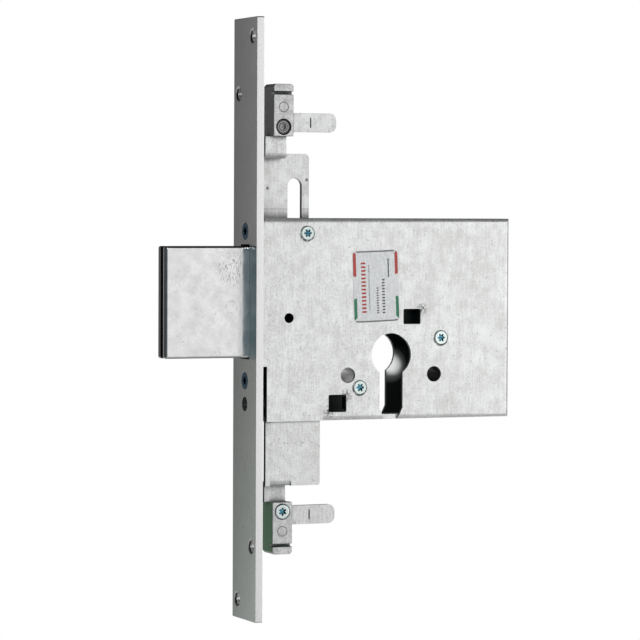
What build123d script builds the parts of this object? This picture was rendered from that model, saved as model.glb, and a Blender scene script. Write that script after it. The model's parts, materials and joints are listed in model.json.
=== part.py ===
from build123d import *

import math
import os

# Mortise lock for a euro-profile cylinder: a deadbolt that also draws in two vertical rod slides.
# Origin on the cylinder axis at the middle of the case's thickness, +X from the faceplate to the
# rear of the case, +Y away from the cover, +Z up. Millimetres. Depths are measured back from the
# faceplate's front, heights up from the cylinder axis.

os.makedirs("parts", exist_ok=True)

# Cylinder opening and the fixings around it
backset = 60.0
profile_r = 8.7
profile_slot = 10.2
profile_bend = -21.4
profile_foot = 5.8
escutcheon_spacing = 38.0
escutcheon_height = -8.0
escutcheon_hole_r = 3.15
sleeve_r = 3.9
cylinder_screw_height = -19.2
cylinder_screw_r = 2.9

# Faceplate
plate_width = 25.0
plate_height = 240.0
plate_t = 3.0
mid_height = 14.5
plate_corner_r = 0.5
fixing_side = 7.5
fixing_outer = 112.5
fixing_inner = 90.0
fixing_hole_r = 2.35
fixing_sink_r = 3.1
case_screw_heights = (49.7, -9.9)
case_screw_head_r = 3.45
case_screw_star_r = 1.86
case_screw_r = 1.95
case_screw_length = 9.0

# Case
case_t = 18.0
sheet = 1.5
case_low = -26.0
case_high = 55.0
case_depth = 113.0
bend_r = 2.0
fit_gap = 0.1
corner_gap = 0.3
pillar_places = ((23.4, 49.0), (82.2, 6.7), (46.4, -13.0))
pillar_r = 3.0
spigot_r = 2.0
cover_screw_head_r = 2.6
cover_screw_star_r = 1.67
cover_screw_r = 1.6
cover_screw_length = 8.0
cover_sink_gap = 0.3
cover_notch_rear = 6.0
cover_notch_high = -4.0
corner_notch_rear = 4.6
corner_notch_low = 53.1
setting_hole = (15.4, 15.2)
setting_hole_r = 2.0
windows = ((69.1, 15.4, 7.6, 6.2), (36.5, -19.2, 7.8, 7.0))
window_corner_r = 0.6
window_tab = 3.0
window_tab_t = 1.0
window_tab_inset = 1.0
tab_low = -24.3
tab_high = 53.0
tab_gap = 0.9
star_core = 0.667
star_ring = 0.741
star_lobe = 0.259
star_depth = 0.8
edge_break = 0.4
sink_angle = 90

# Deadbolt and its tail
bolt_t = 9.4
bolt_h = 44.4
bolt_height = 21.6
bolt_reach = 35.2
throw = 35.0
head_rear = 14.0
slot_side_gap = 0.2
slot_end_gap = 0.7
bolt_edge_r = 0.9
end_groove_width = 3.1
end_groove_depth = 1.5
head_relief = 4.0
tail_t = 3.0
tail_front = 2.0
tail_rear = 74.5
tail_low = 11.0
tail_high = 34.0
tail_guide = (68.0, 24.5)
tail_guide_shoulder_r = 4.2
turns = 2
turn_pitch = throw / turns
cam_notch_w = 9.0
cam_notch_high = 15.8
lock_notch_w = 5.4
lock_notch_low = 30.2
lock_notch_shift = 0.2
bolt_rivet_places = ((6.5, 15.0), (6.5, 31.0))
bolt_rivet_r = 2.0

# Rod slides, driven by one pin through the bolt head
slide_t = 2.0
slide_inner = 5.2
slide_front = 6.2
slide_rear = 29.6
slide_reach = 66.3
slide_corner_r = 2.0
lower_corner_r = 0.8
slide_travel = throw / 2
arm_rear = 49.8
arm_web = 7.8
upper_arm_top = 50.0
drive_pin_place = (9.5, 24.0)
drive_pin_r = 3.0
upper_slot_top = 71.0
stud_place = (17.9, -4.0)
stud_r = 2.0
stud_shoulder_r = 3.0
neck_front = 8.2
neck_rear = 17.2
neck_root = 5.0
neck_bend_r = 2.4
tenon_front = 11.2
tongue_rear = 38.8
tongue_near = 1.8
tongue_far = 9.4
tongue_tip_r = 2.8
tongue_slit = 27.7
tongue_slit_w = 0.5
tongue_slit_l = 4.0

# Rod blocks, measured outwards from their inner ends
block_reach = 73.1
rod_depth = 14.3
block_width = 8.6
block_t = 10.6
block_length = 20.8
tenon_length = 14.2
rod_socket_r = 3.0
rod_socket_depth = 6.2
clamp_place = 3.7
clamp_seat_r = 3.2
clamp_seat_depth = 1.6
clamp_r = 1.9
socket_head_r = 2.75
socket_head_sink = 0.4
socket_hex_r = 1.3
drive_depth = 1.0
pan_head_r = 3.1
pan_star_r = 1.67
pan_head_proud = 0.3
pan_edge_r = 0.5
rivet_place = 11.6
rivet_r = 1.6
rivet_head_r = 1.9
rivet_head_h = 0.5
block_groove_place = 17.2
block_groove_width = 1.3
block_groove_depth = 2.0
block_chamfer = 1.0

# Locking lever beside and above the tail
lever_near = 1.8
lever_t = 2.0
lever_low = 34.0
lever_high = 44.0
lever_front = 54.0
lever_belly_rear = 61.0
lever_belly_low = 15.6
lever_pivot_place = (96.0, 40.0)
lever_pivot_r = 3.0
lever_pivot_head_r = 4.0
lever_pivot_head_t = 1.1
lever_boss_r = 6.0
lever_peg_place = (62.0, 36.5)
lever_peg_r = 2.0
spring_t = 0.5
spring_foot = (104.0, 92.0)
spring_bow = (80.0, 50.2)
spring_tip_depth = 70.0

# Label on the cover
label_place = (53.1, 27.7)
label_width = 19.8
label_height = 28.8
label_t = 0.1
label_corner_r = 1.5
label_turn = 2.2

# Values that follow from the ones above
half_case = case_t / 2
half_inside = half_case - sheet
half_bolt = bolt_t / 2
half_tail = tail_t / 2
bolt_low = bolt_height - bolt_h / 2
bolt_high = bolt_height + bolt_h / 2
half_slide = slide_t / 2
half_block = block_t / 2
slide_outer = slide_inner + slide_t
tenon_width = neck_rear - tenon_front
lever_far = lever_near + lever_t
sleeve_places = (
    (backset - escutcheon_spacing / 2, escutcheon_height),
    (backset + escutcheon_spacing / 2, escutcheon_height),
)


def at(depth):
    """X of a place that lies depth behind the faceplate's front."""
    return depth - backset


def spot(place):
    """A (depth, height) place as coordinates in a side plane."""
    return (at(place[0]), place[1])


def side(y):
    """Plane across the lock at y, seen from the cover: local X is X, local Y is Z, normal to -Y."""
    return Plane.XZ.offset(-y)


def facing(y, z, depth=0.0):
    """Plane at a depth behind the faceplate's front, with its normal out to -X and local Y up."""
    return Plane(origin=(at(depth), y, z), x_dir=(0, -1, 0), z_dir=(-1, 0, 0))


def finish(builder, name):
    """Label a finished piece and write it to its own file."""
    builder.part.label = name
    export_step(builder.part, f"parts/{name}.step")


def area(depth_from, depth_to, low, high):
    """Rectangle in a side plane, given by its depths and heights."""
    with BuildSketch() as sketch:
        with Locations((at((depth_from + depth_to) / 2), (low + high) / 2)):
            Rectangle(depth_to - depth_from, high - low)
    return sketch.sketch


def outline(*places):
    """Straight-sided outline through (depth, height) places in a side plane."""
    with BuildSketch() as sketch:
        Polygon(*[spot(place) for place in places], align=None)
    return sketch.sketch


def discs(places, radius):
    """Equal discs at (depth, height) places in a side plane."""
    with BuildSketch() as sketch:
        with Locations(*[spot(place) for place in places]):
            Circle(radius)
    return sketch.sketch


def slot_area(start, end, radius):
    """Round-ended slot between two (depth, height) places."""
    run = end[0] - start[0]
    rise = end[1] - start[1]
    with BuildSketch() as sketch:
        with Locations((at(start[0] + run / 2), start[1] + rise / 2)):
            SlotCenterToCenter(math.hypot(run, rise), 2 * radius, math.degrees(math.atan2(rise, run)))
    return sketch.sketch


def pin_slot(rise):
    """Slot that the drive pin crosses over the bolt's throw, rising or falling by rise."""
    depth, height = drive_pin_place
    return slot_area(drive_pin_place, (depth + throw, height + rise), drive_pin_r + fit_gap)


def profile_area():
    """Euro-profile opening: a round, and below it a slot that narrows to the case's bottom edge."""
    half = profile_slot / 2
    foot = profile_foot / 2
    with BuildSketch() as sketch:
        Circle(profile_r)
        Polygon(
            (-half, 0),
            (half, 0),
            (half, profile_bend),
            (foot, case_low),
            (-foot, case_low),
            (-half, profile_bend),
            align=None,
        )
    return sketch.sketch


def layer(sketch, from_y, to_y):
    """Solid of one side-plane sketch between two values of Y."""
    with BuildPart() as solid:
        with BuildSketch(side(to_y)):
            add(sketch)
        extrude(amount=to_y - from_y)
    return solid.part


def star(star_r):
    """Six-lobed drive recess whose lobes reach out to star_r."""
    with BuildSketch() as sketch:
        Circle(star_r * star_core)
        with PolarLocations(star_r * star_ring, 6):
            Circle(star_r * star_lobe)
    return sketch.sketch


def torx_screw(head_r, star_r, shank_r, length):
    """Countersunk six-lobe screw: head flush with the local XY plane, shank down -Z."""
    head_h = head_r - shank_r
    with BuildPart() as screw:
        Cone(shank_r, head_r, head_h, align=(Align.CENTER, Align.CENTER, Align.MAX))
        Cylinder(shank_r, length, align=(Align.CENTER, Align.CENTER, Align.MAX))
        with BuildSketch():
            add(star(star_r))
        extrude(amount=-head_h * star_depth, mode=Mode.SUBTRACT)
        chamfer(screw.faces().sort_by(Axis.Z)[0].edges(), edge_break)
    return screw.part


def stepped_stud(place, steps):
    """Turned stud across the lock, from its (radius, from_y, to_y) steps."""
    with BuildPart() as stud:
        for radius, from_y, to_y in steps:
            with BuildSketch(side(to_y)):
                with Locations(spot(place)):
                    Circle(radius)
            extrude(amount=to_y - from_y)
    return stud.part


def rod_block():
    """Rod block standing on its inner end at the origin, its rod socket open at the top."""
    front = side(-half_block)
    with BuildPart() as block:
        with BuildSketch():
            Rectangle(block_width, block_t)
        extrude(amount=block_length)
        chamfer(block.faces().sort_by(Axis.Z)[-1].edges().filter_by(Axis.Y), block_chamfer)
        fillet(block.edges().filter_by(Axis.Z), edge_break)
        with BuildSketch(Plane.XY.offset(block_length)):
            Circle(rod_socket_r)
        extrude(amount=-rod_socket_depth, mode=Mode.SUBTRACT)
        # The slit for the tenon, open at the inner end and on the side where the tongue leaves
        with BuildSketch(side(half_slide + fit_gap)):
            with Locations((tenon_front - rod_depth - fit_gap, 0)):
                Rectangle(block_width, tongue_far + fit_gap, align=(Align.MIN, Align.MIN))
                Rectangle(tenon_width + 2 * fit_gap, tenon_length + fit_gap, align=(Align.MIN, Align.MIN))
        extrude(amount=slide_t + 2 * fit_gap, mode=Mode.SUBTRACT)
        with BuildSketch(front):
            with Locations((0, block_groove_place)):
                Rectangle(block_width, block_groove_width)
        extrude(amount=-block_groove_depth, mode=Mode.SUBTRACT)
        with BuildSketch(front):
            with Locations((0, clamp_place)):
                Circle(clamp_seat_r)
        extrude(amount=-clamp_seat_depth, mode=Mode.SUBTRACT)
        with BuildSketch(front):
            with Locations((0, clamp_place)):
                Circle(clamp_r + fit_gap)
            with Locations((0, rivet_place)):
                Circle(rivet_r)
        extrude(amount=-block_t, mode=Mode.SUBTRACT)
        with BuildSketch(front, side(half_block - rivet_head_h)):
            with Locations((0, rivet_place)):
                Circle(rivet_head_r + fit_gap)
        extrude(amount=-rivet_head_h, mode=Mode.SUBTRACT)
    return block.part


def block_rivet():
    """Rivet through a rod block, its heads flush with the block's two sides."""
    with BuildPart() as rivet:
        with BuildSketch(side(-half_block), side(half_block - rivet_head_h)):
            Circle(rivet_head_r)
        extrude(amount=-rivet_head_h)
        with BuildSketch(side(-half_block)):
            Circle(rivet_r)
        extrude(amount=-block_t)
    return rivet.part


def slide_neck(way, layer_way):
    """Strip stepping from a slide's layer to mid-thickness: way is +1 above the case, -1 below."""
    outer = layer_way * slide_outer
    inner = layer_way * slide_inner
    edge = layer_way * half_slide
    reach = mid_height + way * slide_reach
    root = reach - way * neck_root
    shelf = reach - way * slide_t
    block_end = mid_height + way * block_reach
    with BuildPart() as neck:
        with BuildSketch(Plane.YZ.offset(at(neck_front))) as profile:
            Polygon(
                (outer, root),
                (outer, reach),
                (edge, reach),
                (edge, block_end),
                (-edge, block_end),
                (-edge, shelf),
                (inner, shelf),
                (inner, root),
                align=None,
            )
            for corner, radius in (
                ((outer, reach), neck_bend_r),
                ((-edge, shelf), neck_bend_r),
                ((edge, reach), neck_bend_r - slide_t),
                ((inner, shelf), neck_bend_r - slide_t),
            ):
                fillet(profile.vertices().sort_by_distance(corner)[0], radius)
        extrude(amount=neck_rear - neck_front)
    return neck.part


def slide_end(way):
    """Flat end of a slide: the tenon inside its rod block and the tongue that leaves beside it."""
    base = mid_height + way * block_reach
    low, high = sorted((base + way * tongue_near, base + way * tongue_far))
    tenon_low, tenon_high = sorted((base, base + way * tenon_length))
    with BuildSketch() as tongue:
        add(area(tenon_front, tongue_rear, low, high))
        fillet(tongue.vertices().group_by(Axis.X)[-1], tongue_tip_r)
    with BuildPart() as end:
        with BuildSketch(side(half_slide)):
            add(tongue.sketch)
            add(area(tenon_front, neck_rear, tenon_low, tenon_high))
            with Locations((at(rod_depth), base + way * clamp_place)):
                Circle(clamp_r + fit_gap, mode=Mode.SUBTRACT)
            with Locations((at(rod_depth), base + way * rivet_place)):
                Circle(rivet_r, mode=Mode.SUBTRACT)
            with Locations((at(tongue_slit), (low + high) / 2)):
                Rectangle(tongue_slit_w, tongue_slit_l, mode=Mode.SUBTRACT)
        extrude(amount=slide_t)
    return end.part


def on_cover(places):
    """Planes on the cover's outer face at (depth, height) places, with normals pointing out."""
    return [Plane(origin=(at(d), -half_case, z), x_dir=(1, 0, 0), z_dir=(0, -1, 0)) for d, z in places]


# Faceplate with four countersunk fixing holes, two screw seats, the bolt slot and the M5 screw hole
with BuildPart() as faceplate:
    with BuildSketch(facing(0, mid_height, plate_t)):
        RectangleRounded(plate_width, plate_height, plate_corner_r)
    extrude(amount=plate_t)
    for y, height in (
        (-fixing_side, fixing_outer),
        (-fixing_side, -fixing_inner),
        (fixing_side, fixing_inner),
        (fixing_side, -fixing_outer),
    ):
        with Locations(facing(y, mid_height + height)):
            CounterSinkHole(fixing_hole_r, fixing_sink_r, plate_t, sink_angle)
    for height in case_screw_heights:
        with Locations(facing(0, height)):
            CounterSinkHole(case_screw_r + fit_gap, case_screw_head_r + fit_gap, plate_t, sink_angle)
    with Locations(facing(0, cylinder_screw_height)):
        Hole(cylinder_screw_r, plate_t)
    with BuildSketch(facing(0, bolt_height)):
        Rectangle(bolt_t + 2 * slot_side_gap, bolt_h + 2 * slot_end_gap)
    extrude(amount=-plate_t, mode=Mode.SUBTRACT)
finish(faceplate, "faceplate")

# Two countersunk screws hold the faceplate to the front tabs of the back plate
with BuildPart() as faceplate_screws:
    with Locations(*[facing(0, height) for height in case_screw_heights]):
        add(torx_screw(case_screw_head_r, case_screw_star_r, case_screw_r, case_screw_length))
finish(faceplate_screws, "faceplate_screws")

# Back plate, bent forward at the front into two tabs behind the faceplate
with BuildPart() as case_back:
    with BuildSketch(side(half_case)):
        add(area(plate_t, case_depth, case_low, case_high))
    extrude(amount=sheet)
    with BuildSketch(facing(0, 0, plate_t + sheet)):
        for low, high in ((bolt_high + tab_gap, tab_high), (tab_low, bolt_low - tab_gap)):
            with Locations((0, (low + high) / 2)):
                Rectangle(2 * half_inside, high - low)
    extrude(amount=sheet)
    with BuildSketch(facing(0, 0, plate_t)):
        for height in case_screw_heights:
            with Locations((0, height)):
                Circle(case_screw_r + fit_gap)
        with Locations((0, cylinder_screw_height)):
            Circle(cylinder_screw_r)
    extrude(amount=-sheet, mode=Mode.SUBTRACT)
    # Short bottom flange behind the lower slide
    with BuildSketch(side(half_inside)):
        add(area(plate_t + sheet, slide_rear + corner_gap, case_low, case_low + sheet))
    extrude(amount=half_inside + slide_inner - corner_gap)
    with BuildSketch(side(half_case)):
        add(profile_area())
        add(discs(sleeve_places, escutcheon_hole_r))
        add(discs((*pillar_places, stud_place, tail_guide, lever_pivot_place), spigot_r))
    extrude(amount=sheet, mode=Mode.SUBTRACT)
finish(case_back, "case_back")

# Room inside the cover, rounded where the sheet is bent
with BuildPart() as cover_room:
    add(layer(area(0, case_depth - sheet, case_low + sheet, case_high - sheet), -half_inside, half_inside))
    room_edges = cover_room.faces().sort_by(Axis.Y)[0].edges()
    fillet(room_edges - room_edges.sort_by(Axis.X)[:1], bend_r - sheet)

# Cover with folded top, rear and bottom rims
with BuildPart() as case_cover:
    with BuildSketch(side(half_inside)):
        add(area(plate_t, case_depth, case_low, case_high))
    extrude(amount=half_inside + half_case)
    front_edges = case_cover.faces().sort_by(Axis.Y)[0].edges()
    fillet(front_edges - front_edges.sort_by(Axis.X)[:1], bend_r)
    add(cover_room.part, mode=Mode.SUBTRACT)
    # Open corners between the rims
    with BuildSketch(side(half_inside)):
        add(area(case_depth - sheet, case_depth, case_high - sheet - corner_gap, case_high - sheet))
        add(area(case_depth - sheet, case_depth, case_low + sheet, case_low + sheet + corner_gap))
    extrude(amount=2 * half_inside, mode=Mode.SUBTRACT)
    # The top rim is notched for the upper slide; in front of the lower slide there is no bottom rim
    with BuildSketch(side(half_inside)):
        add(area(slide_front - corner_gap, slide_rear + corner_gap, case_high - sheet, case_high))
    extrude(amount=half_inside - slide_inner + corner_gap, mode=Mode.SUBTRACT)
    with BuildSketch(side(half_inside)):
        add(area(plate_t, slide_rear + 2 * corner_gap, case_low, case_low + 2 * sheet))
    extrude(amount=half_inside + half_case, mode=Mode.SUBTRACT)
    with BuildSketch(side(-half_inside)):
        add(area(plate_t, slide_rear + 2 * corner_gap, case_low, case_low + 2 * sheet))
    extrude(amount=sheet)
    with BuildSketch(side(-half_inside)):
        add(area(plate_t, cover_notch_rear, case_low, cover_notch_high))
        add(area(plate_t, corner_notch_rear, corner_notch_low, case_high))
        add(profile_area())
        add(discs(sleeve_places, escutcheon_hole_r))
        add(discs((setting_hole,), setting_hole_r))
        for depth, height, width, tall in windows:
            with Locations(spot((depth, height))):
                RectangleRounded(width, tall, window_corner_r)
    extrude(amount=sheet, mode=Mode.SUBTRACT)
    # Lanced tabs bent inwards from the rear side of each window
    for depth, height, width, tall in windows:
        tab_front = depth + width / 2
        tab_half = tall / 2 - window_tab_inset
        with BuildSketch(side(-half_inside + window_tab)):
            add(area(tab_front, tab_front + window_tab_t, height - tab_half, height + tab_half))
        extrude(amount=window_tab + sheet / 2)
    with Locations(*on_cover(pillar_places)):
        CounterSinkHole(cover_screw_r + fit_gap, cover_screw_head_r + cover_sink_gap, sheet, sink_angle)
finish(case_cover, "case_cover")

# Three pillars riveted to the back plate and tapped for the cover screws
with BuildPart() as spacer_pillars:
    for radius, from_y, to_y in ((pillar_r, -half_inside, half_inside), (spigot_r, half_inside, half_case)):
        with BuildSketch(side(to_y)):
            add(discs(pillar_places, radius))
        extrude(amount=to_y - from_y)
    with BuildSketch(side(-half_inside)):
        add(discs(pillar_places, cover_screw_r + fit_gap))
    extrude(amount=-cover_screw_length, mode=Mode.SUBTRACT)
finish(spacer_pillars, "spacer_pillars")

with BuildPart() as cover_screws:
    with Locations(*on_cover(pillar_places)):
        add(torx_screw(cover_screw_head_r, cover_screw_star_r, cover_screw_r, cover_screw_length))
finish(cover_screws, "cover_screws")

# Sleeves that carry the escutcheon bolts through the case
with BuildPart() as escutcheon_sleeves:
    with BuildSketch(side(half_inside)):
        add(discs(sleeve_places, sleeve_r))
        add(discs(sleeve_places, escutcheon_hole_r), mode=Mode.SUBTRACT)
    extrude(amount=2 * half_inside)
finish(escutcheon_sleeves, "escutcheon_sleeves")

# Deadbolt head, slotted at the rear for the tail
with BuildPart() as deadbolt:
    with BuildSketch(side(half_bolt)):
        add(area(-bolt_reach, head_rear, bolt_low, bolt_high))
    extrude(amount=bolt_t)
    fillet(deadbolt.edges().filter_by(Axis.X) + deadbolt.faces().sort_by(Axis.X)[0].edges(), bolt_edge_r)
    with BuildSketch(side(half_bolt)):
        relief_front = head_rear - head_relief
        add(outline((relief_front, bolt_low), (head_rear, bolt_low), (head_rear, bolt_low + head_relief)))
    extrude(amount=bolt_t, mode=Mode.SUBTRACT)
    with BuildSketch(facing(0, bolt_height, -bolt_reach)):
        Rectangle(end_groove_width, bolt_h)
    extrude(amount=-end_groove_depth, mode=Mode.SUBTRACT)
    with BuildSketch(side(half_tail)):
        add(area(tail_front, head_rear, tail_low, tail_high))
    extrude(amount=tail_t, mode=Mode.SUBTRACT)
    with BuildSketch(side(half_bolt)):
        add(discs((drive_pin_place,), drive_pin_r))
        add(discs(bolt_rivet_places, bolt_rivet_r))
    extrude(amount=bolt_t, mode=Mode.SUBTRACT)
finish(deadbolt, "deadbolt")

# Tail: cam notches below, locking notches above and a guide slot between them
with BuildPart() as bolt_tail:
    with BuildSketch(side(half_tail)):
        add(area(tail_front, tail_rear, tail_low, tail_high))
        for turn in range(turns):
            notch = backset - turn_pitch * (turn + 0.5)
            cam_notch = area(notch - cam_notch_w / 2, notch + cam_notch_w / 2, tail_low, cam_notch_high)
            add(cam_notch, mode=Mode.SUBTRACT)
        for stop in range(turns + 1):
            notch = lever_peg_place[0] + lock_notch_shift - turn_pitch * stop
            lock_notch = area(notch - lock_notch_w / 2, notch + lock_notch_w / 2, lock_notch_low, tail_high)
            add(lock_notch, mode=Mode.SUBTRACT)
        guide_start = (tail_guide[0] - throw, tail_guide[1])
        add(slot_area(guide_start, tail_guide, pillar_r + fit_gap), mode=Mode.SUBTRACT)
        add(discs((drive_pin_place,), drive_pin_r), mode=Mode.SUBTRACT)
        add(discs(bolt_rivet_places, bolt_rivet_r), mode=Mode.SUBTRACT)
    extrude(amount=tail_t)
finish(bolt_tail, "bolt_tail")

with BuildPart() as bolt_rivets:
    with BuildSketch(side(half_bolt)):
        add(discs(bolt_rivet_places, bolt_rivet_r))
    extrude(amount=bolt_t)
finish(bolt_rivets, "bolt_rivets")

# One pin through the head drives both slides
with BuildPart() as drive_pin:
    with BuildSketch(side(slide_outer)):
        add(discs((drive_pin_place,), drive_pin_r))
    extrude(amount=2 * slide_outer)
    chamfer(drive_pin.edges().filter_by(GeomType.CIRCLE), edge_break)
finish(drive_pin, "drive_pin")

# Heights that the slides' edges gain or lose along the slope of the pin slots
slope = slide_travel / throw
rise = (arm_rear - drive_pin_place[0]) * slope
fall = (drive_pin_place[0] - slide_front) * slope
drop = (slide_rear - drive_pin_place[0]) * slope

# Upper slide, in the layer next to the back plate, guided by the front pillar in its upright slot
upper_line = drive_pin_place[1] - arm_web
upper_reach = mid_height + slide_reach
with BuildPart() as upper_slide:
    with BuildSketch(side(slide_outer)) as plate_sketch:
        add(
            outline(
                (slide_front, upper_line - fall),
                (arm_rear, upper_line + rise),
                (arm_rear, upper_arm_top),
                (slide_rear, upper_arm_top),
                (slide_rear, upper_reach),
                (slide_front, upper_reach),
            )
        )
        fillet(plate_sketch.vertices().sort_by_distance(spot((slide_rear, upper_reach)))[0], slide_corner_r)
        add(area(neck_front, neck_rear, upper_reach - neck_root, upper_reach), mode=Mode.SUBTRACT)
        add(pin_slot(slide_travel), mode=Mode.SUBTRACT)
        slot_top = (pillar_places[0][0], upper_slot_top - pillar_r - fit_gap)
        add(slot_area(pillar_places[0], slot_top, pillar_r + fit_gap), mode=Mode.SUBTRACT)
    extrude(amount=slide_t)
    add(slide_neck(1, 1))
    add(slide_end(1))
finish(upper_slide, "upper_slide")

# Lower slide, in the layer next to the cover, guided by a stud in its short slot
lower_line = drive_pin_place[1] + arm_web
lower_reach = mid_height - slide_reach
with BuildPart() as lower_slide:
    with BuildSketch(side(-slide_inner)) as plate_sketch:
        add(
            outline(
                (slide_front, lower_line + fall),
                (arm_rear, lower_line - rise),
                (arm_rear, lower_line - rise - 2 * arm_web),
                (slide_rear, lower_line - drop - 2 * arm_web),
                (slide_rear, lower_reach),
                (slide_front, lower_reach),
            )
        )
        fillet(plate_sketch.vertices().sort_by_distance(spot((slide_rear, lower_reach)))[0], lower_corner_r)
        add(area(neck_front, neck_rear, lower_reach, lower_reach + neck_root), mode=Mode.SUBTRACT)
        add(pin_slot(-slide_travel), mode=Mode.SUBTRACT)
        stud_low = (stud_place[0], stud_place[1] - slide_travel)
        add(slot_area(stud_low, stud_place, stud_r + fit_gap), mode=Mode.SUBTRACT)
        add(discs((setting_hole,), setting_hole_r + fit_gap), mode=Mode.SUBTRACT)
    extrude(amount=slide_t)
    add(slide_neck(-1, -1))
    add(slide_end(-1))
finish(lower_slide, "lower_slide")

# Stud for the lower slide, riveted to the back plate and shouldered against the slide
with BuildPart() as lower_slide_stud:
    add(
        stepped_stud(
            stud_place,
            (
                (spigot_r, half_inside, half_case),
                (stud_shoulder_r, -slide_inner + fit_gap, half_inside),
                (stud_r, -slide_outer, -slide_inner + fit_gap),
            ),
        )
    )
finish(lower_slide_stud, "lower_slide_stud")

# Stud that carries the rear of the tail
with BuildPart() as tail_guide_stud:
    add(
        stepped_stud(
            tail_guide,
            (
                (spigot_r, half_inside, half_case),
                (tail_guide_shoulder_r, half_tail + fit_gap, half_inside),
                (pillar_r, -half_inside, half_tail + fit_gap),
            ),
        )
    )
finish(tail_guide_stud, "tail_guide_stud")

# Rod blocks on the slides' tenons, each with a clamp screw and a rivet
upper_block_end = mid_height + block_reach
lower_block_end = mid_height - block_reach
block_shape = rod_block()
with BuildPart() as upper_rod_block:
    with Locations((at(rod_depth), 0, upper_block_end)):
        add(block_shape)
finish(upper_rod_block, "upper_rod_block")

with BuildPart() as lower_rod_block:
    with Locations((at(rod_depth), 0, lower_block_end)):
        add(mirror(block_shape, about=Plane.XY, mode=Mode.PRIVATE))
finish(lower_rod_block, "lower_rod_block")

with BuildPart() as upper_block_rivet:
    with Locations((at(rod_depth), 0, upper_block_end + rivet_place)):
        add(block_rivet())
finish(upper_block_rivet, "upper_block_rivet")

with BuildPart() as lower_block_rivet:
    with Locations((at(rod_depth), 0, lower_block_end - rivet_place)):
        add(block_rivet())
finish(lower_block_rivet, "lower_block_rivet")

# The upper clamp screw has a sunk socket head, the lower one a six-lobe head standing a little proud
upper_clamp = Plane(origin=(at(rod_depth), -half_block, upper_block_end + clamp_place), z_dir=(0, -1, 0))
with BuildPart() as upper_clamp_screw:
    with BuildSketch(upper_clamp.offset(-clamp_seat_depth)):
        Circle(socket_head_r)
    extrude(amount=clamp_seat_depth - socket_head_sink)
    with BuildSketch(upper_clamp.offset(-clamp_seat_depth)):
        Circle(clamp_r)
    extrude(amount=clamp_seat_depth - block_t)
    with BuildSketch(upper_clamp.offset(-socket_head_sink)):
        RegularPolygon(socket_hex_r, 6)
    extrude(amount=-drive_depth, mode=Mode.SUBTRACT)
finish(upper_clamp_screw, "upper_clamp_screw")

lower_clamp = Plane(origin=(at(rod_depth), -half_block, lower_block_end - clamp_place), z_dir=(0, -1, 0))
with BuildPart() as lower_clamp_screw:
    with BuildSketch(lower_clamp.offset(-clamp_seat_depth)):
        Circle(pan_head_r)
    extrude(amount=clamp_seat_depth + pan_head_proud)
    fillet(lower_clamp_screw.faces().sort_by(Axis.Y)[0].edges(), pan_edge_r)
    with BuildSketch(lower_clamp.offset(-clamp_seat_depth)):
        Circle(clamp_r)
    extrude(amount=clamp_seat_depth - block_t)
    with BuildSketch(lower_clamp.offset(pan_head_proud)):
        add(star(pan_star_r))
    extrude(amount=-drive_depth, mode=Mode.SUBTRACT)
finish(lower_clamp_screw, "lower_clamp_screw")

# Locking lever, drawn lifted clear of the tail, with the peg that drops into the tail's notches
with BuildPart() as locking_lever:
    with BuildSketch(side(lever_far)):
        add(area(lever_front, lever_pivot_place[0], lever_low, lever_high))
        add(area(lever_front, lever_belly_rear, lever_belly_low, lever_high))
        add(discs((lever_pivot_place,), lever_boss_r))
        add(discs((lever_pivot_place,), lever_pivot_r + fit_gap), mode=Mode.SUBTRACT)
        add(discs((lever_peg_place,), lever_peg_r), mode=Mode.SUBTRACT)
    extrude(amount=lever_t)
finish(locking_lever, "locking_lever")

with BuildPart() as lever_peg:
    add(layer(discs((lever_peg_place,), lever_peg_r), -half_tail, lever_far))
finish(lever_peg, "lever_peg")

with BuildPart() as lever_pivot:
    add(
        stepped_stud(
            lever_pivot_place,
            (
                (spigot_r, half_inside, half_case),
                (lever_pivot_head_r, lever_far + fit_gap, half_inside),
                (lever_pivot_r, lever_near - fit_gap, lever_far + fit_gap),
                (lever_pivot_head_r, lever_near - fit_gap - lever_pivot_head_t, lever_near - fit_gap),
            ),
        )
    )
finish(lever_pivot, "lever_pivot")

# Leaf spring under the top rim, bowed down onto the lever
with BuildPart() as lever_spring:
    with BuildSketch(side(lever_far)):
        with BuildLine():
            foot = [spot((depth, case_high - sheet)) for depth in spring_foot]
            Line(*foot)
            ThreePointArc(foot[1], spot(spring_bow), spot((spring_tip_depth, lever_high + 2 * spring_t)))
            offset(amount=spring_t, side=Side.LEFT)
        make_face()
    extrude(amount=lever_t)
finish(lever_spring, "lever_spring")

# Label on the cover, set slightly askew
with BuildPart() as label:
    with BuildSketch(side(-half_case)):
        with Locations(Location((at(label_place[0]), label_place[1]), label_turn)):
            RectangleRounded(label_width, label_height, label_corner_r)
    extrude(amount=label_t)
finish(label, "label")
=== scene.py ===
import json
import math

import bmesh
import bpy
from mathutils import Matrix, Vector


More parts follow.
